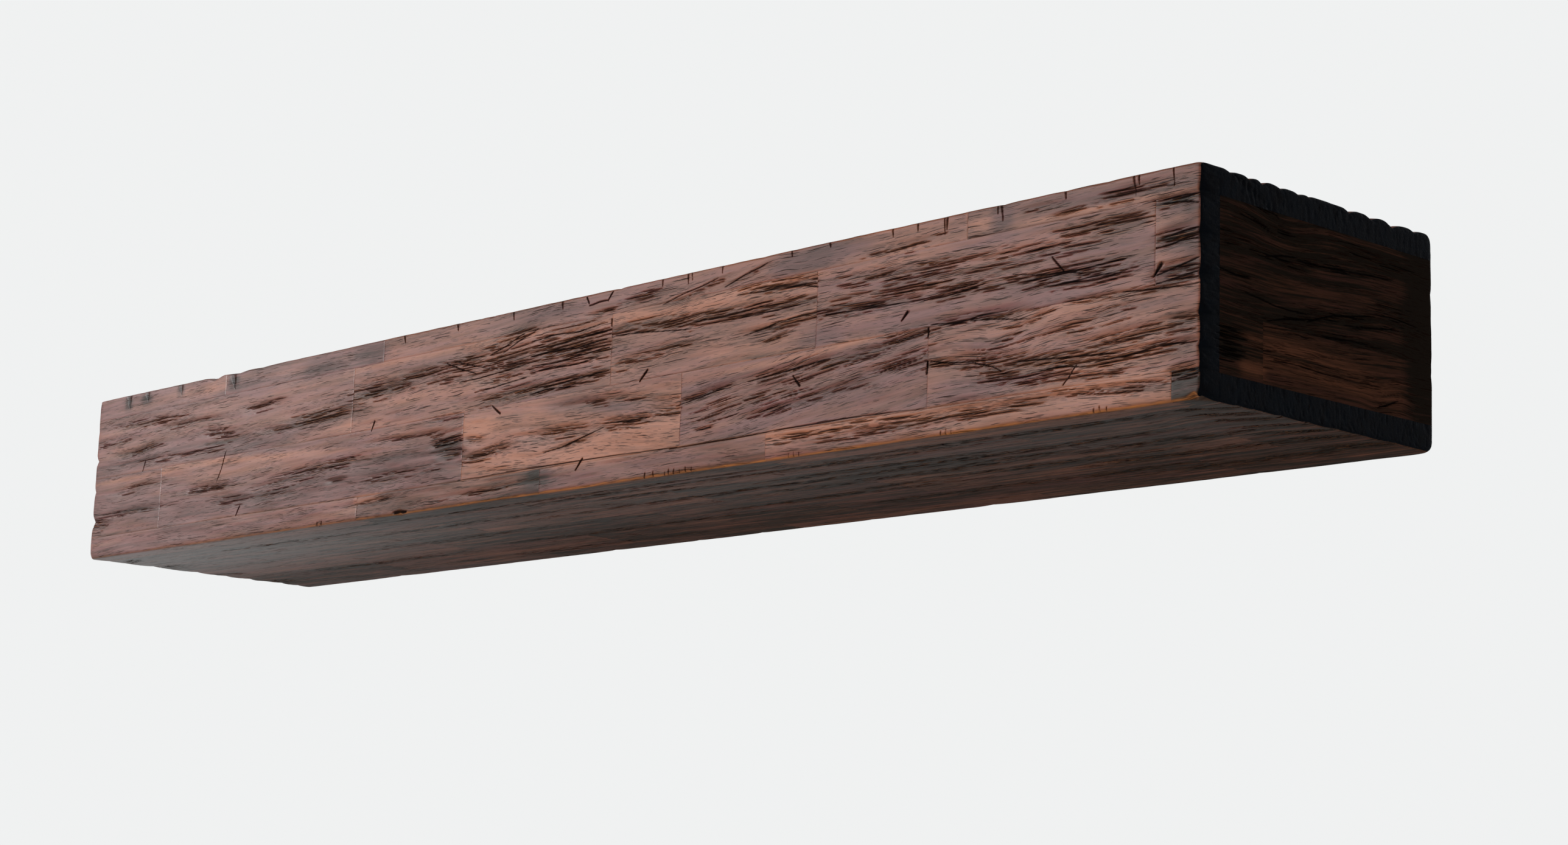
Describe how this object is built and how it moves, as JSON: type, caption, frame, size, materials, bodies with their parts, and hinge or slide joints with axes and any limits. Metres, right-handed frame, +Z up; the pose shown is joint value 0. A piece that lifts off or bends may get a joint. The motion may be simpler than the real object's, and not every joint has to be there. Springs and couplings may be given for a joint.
{
  "type": "mantel shelf",
  "caption": "Wall-hung hollow box-beam mantel shelf of glued, finger-jointed hardwood staves with worn arrises, carried by an inside wall cleat.",
  "frame": {"origin": "middle of the wall face of the cleat: in the wall plane, midway along the beam, level with its mid-height", "axes": "+X along the beam towards its right end, +Y into the wall (the beam faces the room along -Y), +Z up"},
  "size_m": [1.2192, 0.2286, 0.1396],
  "materials": {
    "stave_hardwood": "satin",
    "plug_hardwood": "satin",
    "plain_softwood": "raw",
    "dowel_beech": "raw",
    "zinc_plated_steel": "satin"
  },
  "bodies": {
    "root": {"bottom_board_row_1_staves": "stave_hardwood", "bottom_board_row_2_staves": "stave_hardwood", "bottom_board_row_3_staves": "stave_hardwood", "bottom_board_row_4_staves": "stave_hardwood", "bottom_board_row_5_staves": "stave_hardwood", "cleat_screws": "zinc_plated_steel", "end_cap_dowels": "dowel_beech", "front_bottom_dowels": "dowel_beech", "front_bottom_glue_blocks": "plain_softwood", "front_bottom_row_stave_1": "stave_hardwood", "front_bottom_row_stave_2": "stave_hardwood", "front_bottom_row_stave_3": "stave_hardwood", "front_bottom_row_stave_4": "stave_hardwood", "front_bottom_row_stave_5": "stave_hardwood", "front_middle_row_1_stave_1": "stave_hardwood", "front_middle_row_1_stave_2": "stave_hardwood", "front_middle_row_1_stave_3": "stave_hardwood", "front_middle_row_1_stave_4": "stave_hardwood", "front_middle_row_1_stave_5": "stave_hardwood", "front_middle_row_2_stave_1": "stave_hardwood", "front_middle_row_2_stave_2": "stave_hardwood", "front_middle_row_2_stave_3": "stave_hardwood", "front_middle_row_2_stave_4": "stave_hardwood", "front_middle_row_2_stave_5": "stave_hardwood", "front_top_dowels": "dowel_beech", "front_top_glue_blocks": "plain_softwood", "front_top_row_stave_1": "stave_hardwood", "front_top_row_stave_2": "stave_hardwood", "front_top_row_stave_3": "stave_hardwood", "front_top_row_stave_4": "stave_hardwood", "left_cap_lower_row_stave_1": "stave_hardwood", "left_cap_lower_row_stave_2": "stave_hardwood", "left_cap_middle_row_stave_1": "stave_hardwood", "left_cap_upper_row_stave_1": "stave_hardwood", "left_cap_upper_row_stave_2": "stave_hardwood", "left_end_glue_blocks": "plain_softwood", "left_rib": "plain_softwood", "right_cap_lower_row_stave_1": "stave_hardwood", "right_cap_lower_row_stave_2": "stave_hardwood", "right_cap_middle_row_stave_1": "stave_hardwood", "right_cap_upper_row_stave_1": "stave_hardwood", "right_cap_upper_row_stave_2": "stave_hardwood", "right_end_glue_blocks": "plain_softwood", "right_rib": "plain_softwood", "screw_plugs": "plug_hardwood", "top_board_row_1_staves": "stave_hardwood", "top_board_row_2_staves": "stave_hardwood", "top_board_row_3_staves": "stave_hardwood", "top_board_row_4_staves": "stave_hardwood", "top_board_row_5_staves": "stave_hardwood", "wall_cleat": "plain_softwood"}
  },
  "joints": []
}
